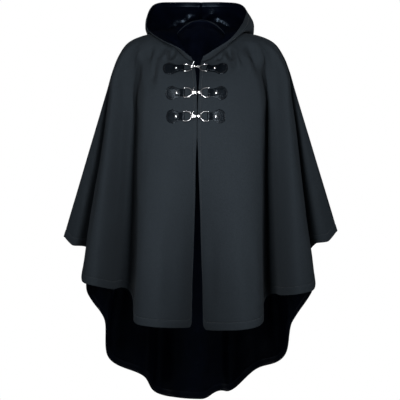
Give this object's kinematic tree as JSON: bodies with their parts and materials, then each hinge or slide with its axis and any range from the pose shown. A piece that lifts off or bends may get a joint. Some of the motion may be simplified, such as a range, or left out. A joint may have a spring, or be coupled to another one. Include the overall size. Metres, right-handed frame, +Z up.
{
  "type": "hooded cape",
  "caption": "Worn hooded cape with a short open front, a long rounded back, a hood lying back and leather and metal clasps.",
  "frame": {"origin": "middle of the neckline, level with its sides, where the cape rests on the wearer's shoulders", "axes": "+Z up the wearer, the wearer faces -Y and the wearer's left is +X"},
  "size_m": [0.7329, 0.4926, 1.0864],
  "materials": {
    "cloth": "matte charcoal wool coating with a short nap",
    "satin": "near-black satin lining with a soft sheen",
    "leather": "glossy black leather",
    "metal": "bright nickel plate"
  },
  "bodies": {
    "root": {"front_right": "cloth", "front_left": "cloth", "back": "cloth", "back_lining": "satin", "hood_right": "cloth", "hood_left": "cloth", "hood_right_lining": "satin", "hood_left_lining": "satin", "tab_right_1": "leather", "tab_right_2": "leather", "tab_right_3": "leather", "tab_left_1": "leather", "tab_left_2": "leather", "tab_left_3": "leather", "ring_right_1": "metal", "ring_right_2": "metal", "ring_right_3": "metal", "ring_left_1": "metal", "ring_left_2": "metal", "ring_left_3": "metal", "hook_1": "metal", "hook_2": "metal", "hook_3": "metal", "rivet_right_1": "metal", "rivet_right_2": "metal", "rivet_right_3": "metal", "rivet_left_1": "metal", "rivet_left_2": "metal", "rivet_left_3": "metal"}
  },
  "joints": []
}
